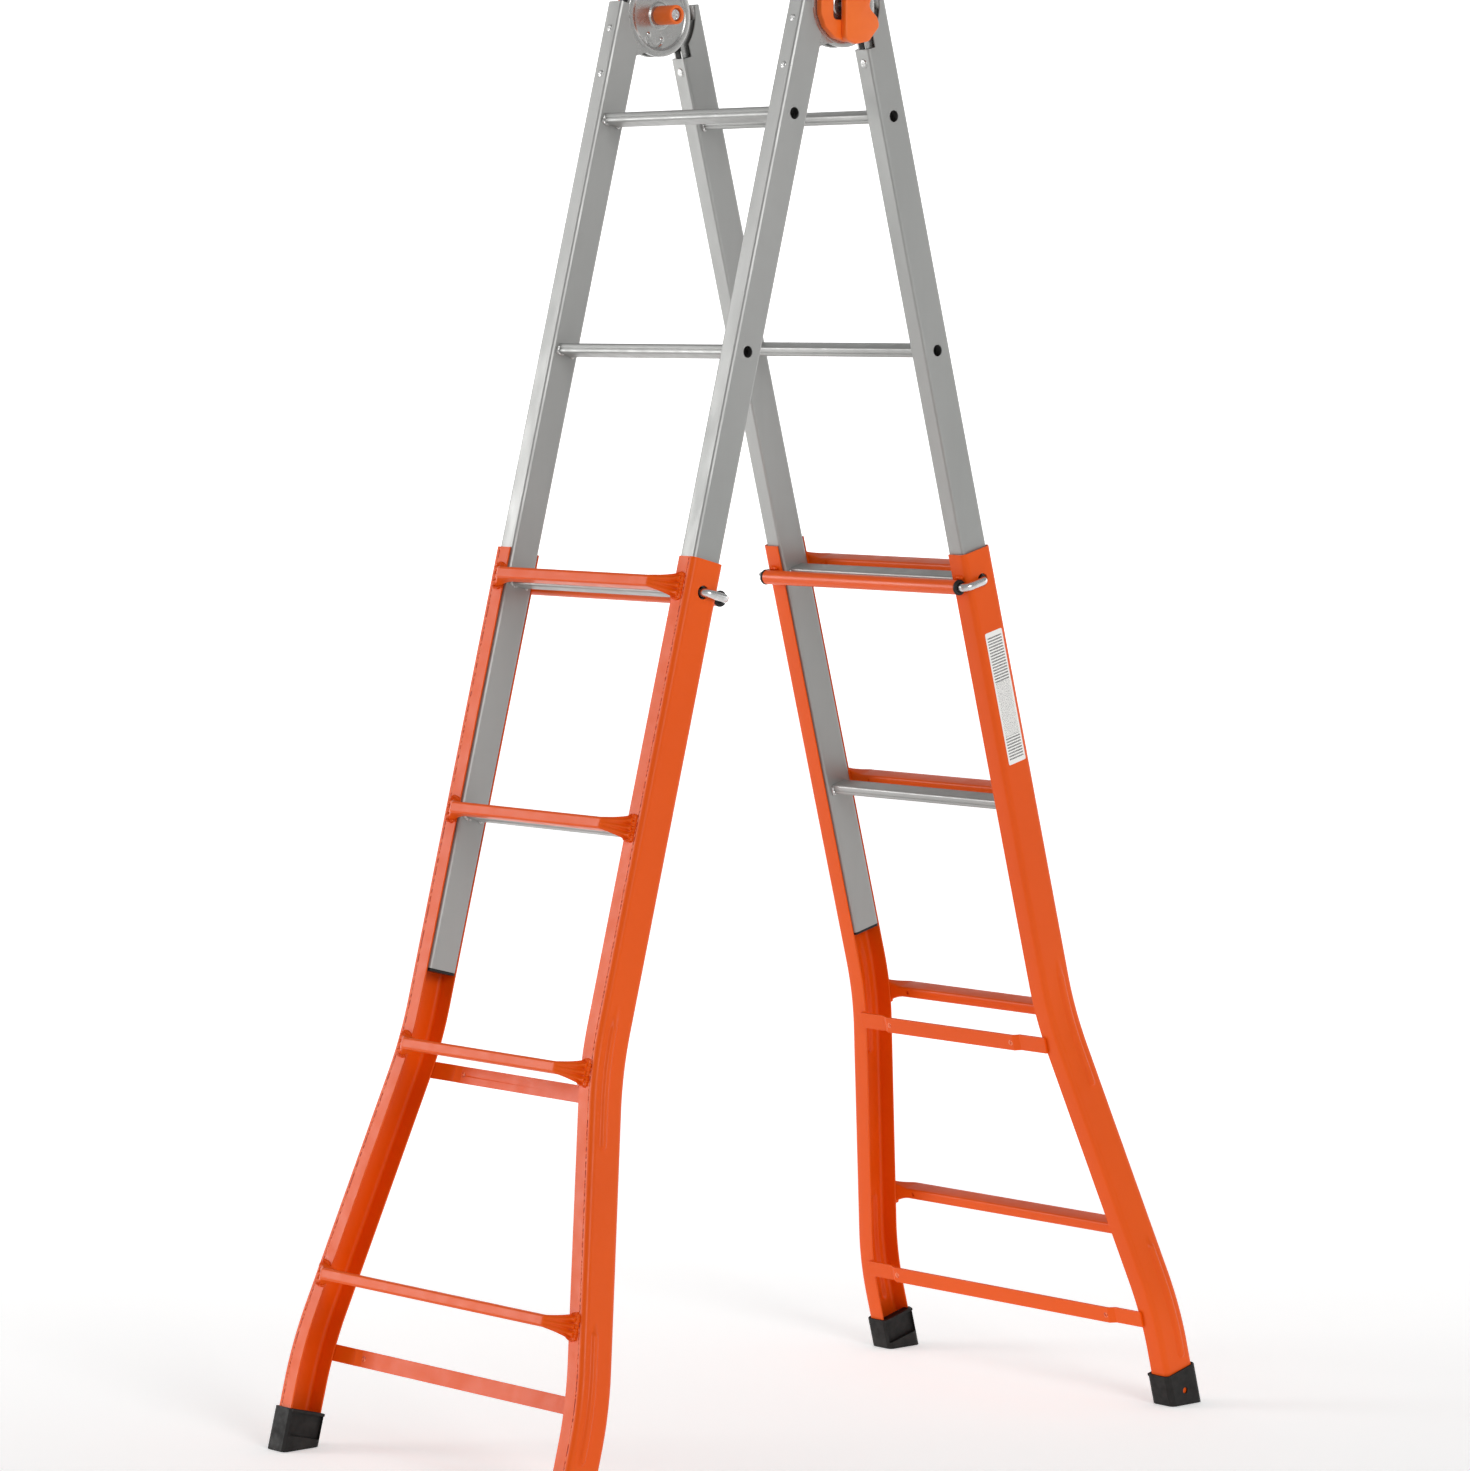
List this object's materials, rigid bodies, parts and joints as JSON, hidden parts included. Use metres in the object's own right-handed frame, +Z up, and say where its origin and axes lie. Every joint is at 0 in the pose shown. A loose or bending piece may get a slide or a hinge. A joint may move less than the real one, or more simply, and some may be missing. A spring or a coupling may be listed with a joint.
{
  "type": "double_ladder",
  "caption": "Folding steel double ladder: grey inner frames joined by locking hinges, with flared orange outer frames that slide on them and lock with sprung U hooks",
  "frame": {"origin": "on the floor, under the middle of the hinge axis", "axes": "+X from leg A to leg B, +Y along the rungs to the far side, +Z up"},
  "size_m": [1.031, 0.541, 1.7389],
  "materials": {
    "grey_steel": "satin grey coat over folded steel tube",
    "orange_paint": "semi-gloss orange powder coat over pressed steel",
    "bright_zinc": "bright zinc plate",
    "black_plastic": "moulded, fine matt grain",
    "orange_plastic": "moulded, smooth",
    "black_rubber": "moulded rubber, slightly dusty"
  },
  "bodies": {
    "inner_a": {"inner_a_rung_1": "grey_steel", "inner_a_rung_2": "grey_steel", "inner_a_rung_3": "grey_steel", "inner_a_rung_4": "grey_steel", "inner_a_stile_near": "grey_steel", "inner_a_cap_near": "black_plastic", "hinge_plate_a_near": "grey_steel", "inner_a_stile_far": "grey_steel", "inner_a_cap_far": "black_plastic", "hinge_plate_a_far": "grey_steel", "hinge_sleeve_near": "orange_plastic", "hinge_sleeve_far": "orange_plastic"},
    "outer_a": {"outer_a_rung_1": "orange_paint", "outer_a_rung_2": "orange_paint", "outer_a_rung_3": "orange_paint", "outer_a_rung_4": "orange_paint", "outer_a_stile_near": "orange_paint", "outer_a_foot_near": "black_rubber", "outer_a_bushing_near": "black_plastic", "outer_a_stile_far": "orange_paint", "outer_a_foot_far": "black_rubber", "outer_a_bushing_far": "black_plastic", "outer_a_strap_upper": "orange_paint", "outer_a_strap_lower": "orange_paint", "outer_a_lock_tube": "orange_paint", "lock_spring_a": "bright_zinc"},
    "inner_b": {"inner_b_rung_1": "grey_steel", "inner_b_rung_2": "grey_steel", "inner_b_rung_3": "grey_steel", "inner_b_rung_4": "grey_steel", "inner_b_stile_near": "grey_steel", "inner_b_cap_near": "black_plastic", "hinge_plate_b_near": "grey_steel", "inner_b_stile_far": "grey_steel", "inner_b_cap_far": "black_plastic", "hinge_plate_b_far": "grey_steel", "hinge_guard_near": "black_plastic", "hinge_guard_far": "black_plastic"},
    "outer_b": {"outer_b_rung_1": "orange_paint", "outer_b_rung_2": "orange_paint", "outer_b_rung_3": "orange_paint", "outer_b_rung_4": "orange_paint", "outer_b_stile_near": "orange_paint", "outer_b_foot_near": "black_rubber", "outer_b_bushing_near": "black_plastic", "outer_b_stile_far": "orange_paint", "outer_b_foot_far": "black_rubber", "outer_b_bushing_far": "black_plastic", "outer_b_strap_upper": "orange_paint", "outer_b_strap_lower": "orange_paint", "outer_b_lock_tube": "orange_paint", "lock_spring_b": "bright_zinc"},
    "hook_a_near": {"lock_hook_a_near": "bright_zinc"},
    "hook_a_far": {"lock_hook_a_far": "bright_zinc"},
    "hook_b_near": {"lock_hook_b_near": "bright_zinc"},
    "hook_b_far": {"lock_hook_b_far": "bright_zinc"},
    "lever_near": {"hinge_lever_near": "orange_plastic", "hinge_bolt_near": "bright_zinc"},
    "lever_far": {"hinge_lever_far": "orange_plastic", "hinge_bolt_far": "bright_zinc"}
  },
  "joints": [
    {"name": "fold", "type": "hinge", "parent": "inner_a", "child": "inner_b", "pos_m": [0, 0, 1.68998], "axis": [0, -1, 0], "range_deg": [-29.44, 150.56]},
    {"name": "extend_a", "type": "slide", "parent": "inner_a", "child": "outer_a", "axis": [-0.2541, 0, -0.9672], "range_m": [-0.564, 0.282]},
    {"name": "extend_b", "type": "slide", "parent": "inner_b", "child": "outer_b", "axis": [0.2541, 0, -0.9672], "range_m": [-0.564, 0.282]},
    {"name": "hook_a_near_pull", "type": "slide", "parent": "outer_a", "child": "hook_a_near", "axis": [0, -1, 0], "range_m": [0, 0.025], "stiffness_N_per_m": 900, "springref_m": -0.012, "deforming": ["lock_spring_a"]},
    {"name": "hook_a_far_pull", "type": "slide", "parent": "outer_a", "child": "hook_a_far", "axis": [0, 1, 0], "range_m": [0, 0.025], "stiffness_N_per_m": 900, "springref_m": -0.012, "deforming": ["lock_spring_a"]},
    {"name": "hook_b_near_pull", "type": "slide", "parent": "outer_b", "child": "hook_b_near", "axis": [0, -1, 0], "range_m": [0, 0.025], "stiffness_N_per_m": 900, "springref_m": -0.012, "deforming": ["lock_spring_b"]},
    {"name": "hook_b_far_pull", "type": "slide", "parent": "outer_b", "child": "hook_b_far", "axis": [0, 1, 0], "range_m": [0, 0.025], "stiffness_N_per_m": 900, "springref_m": -0.012, "deforming": ["lock_spring_b"]},
    {"name": "lever_near_pull", "type": "slide", "parent": "inner_a", "child": "lever_near", "axis": [0, -1, 0], "range_m": [0, 0.008], "stiffness_N_per_m": 2000, "springref_m": -0.006},
    {"name": "lever_far_pull", "type": "slide", "parent": "inner_a", "child": "lever_far", "axis": [0, 1, 0], "range_m": [0, 0.008], "stiffness_N_per_m": 2000, "springref_m": -0.006}
  ]
}
